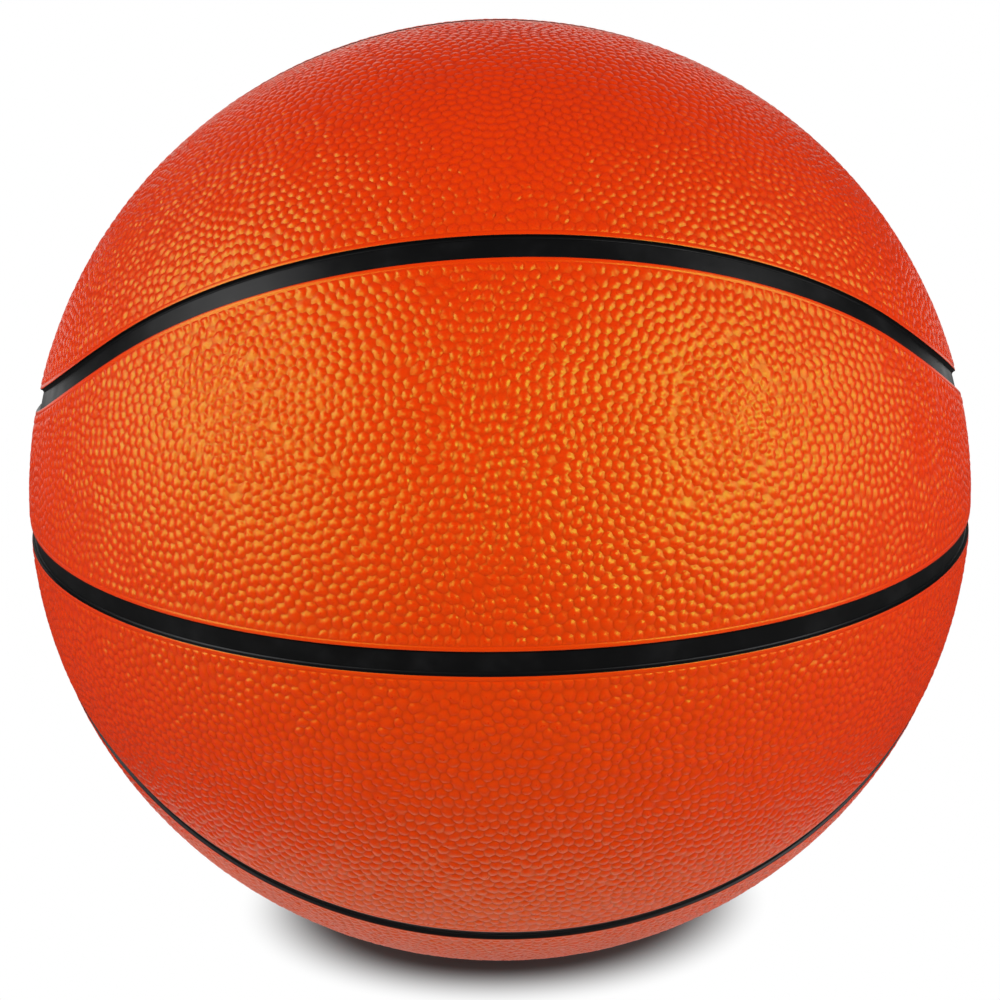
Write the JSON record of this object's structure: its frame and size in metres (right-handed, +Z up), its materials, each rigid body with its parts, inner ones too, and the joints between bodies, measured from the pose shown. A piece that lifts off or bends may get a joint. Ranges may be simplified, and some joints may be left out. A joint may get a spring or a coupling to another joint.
{
  "type": "basketball",
  "caption": "Inflated moulded rubber basketball: pebbled orange panels parted by recessed black channels, over a carcass, thread winding and bladder with a needle valve.",
  "frame": {"origin": "centre of the ball", "axes": "+Z up, square to the level seam's plane; the seam that runs upright over the ball lies in the plane Y = 0; the panels of the picture's side face -Y, and the valve is on the +Y side"},
  "size_m": [0.2398, 0.2398, 0.24],
  "materials": {
    "orange_rubber": "semi-gloss, moulded pebble grain",
    "black_rubber": "smooth semi-gloss",
    "butyl_rubber": "dull moulded rubber, dusted",
    "valve_rubber": "satin moulded rubber",
    "plug_rubber": "soft oiled rubber",
    "nylon_thread": "wound nylon thread",
    "carcass_rubber": "matt rubber sheet"
  },
  "bodies": {
    "root": {"bladder": "butyl_rubber", "valve_housing": "valve_rubber", "valve_plug": "plug_rubber", "winding": "nylon_thread", "carcass": "carcass_rubber", "side_panel_front_upper": "orange_rubber", "side_panel_front_lower": "orange_rubber", "side_panel_back_upper": "orange_rubber", "side_panel_back_lower": "orange_rubber", "cap_panel_front_top": "orange_rubber", "cap_panel_back_top": "orange_rubber", "cap_panel_front_bottom": "orange_rubber", "cap_panel_back_bottom": "orange_rubber", "channel_equator": "black_rubber", "channel_curve_upper": "black_rubber", "channel_curve_lower": "black_rubber", "channel_arch_top": "black_rubber", "channel_arch_bottom": "black_rubber", "channel_link_right_upper": "black_rubber", "channel_link_right_lower": "black_rubber", "channel_link_left_upper": "black_rubber", "channel_link_left_lower": "black_rubber"}
  },
  "joints": []
}
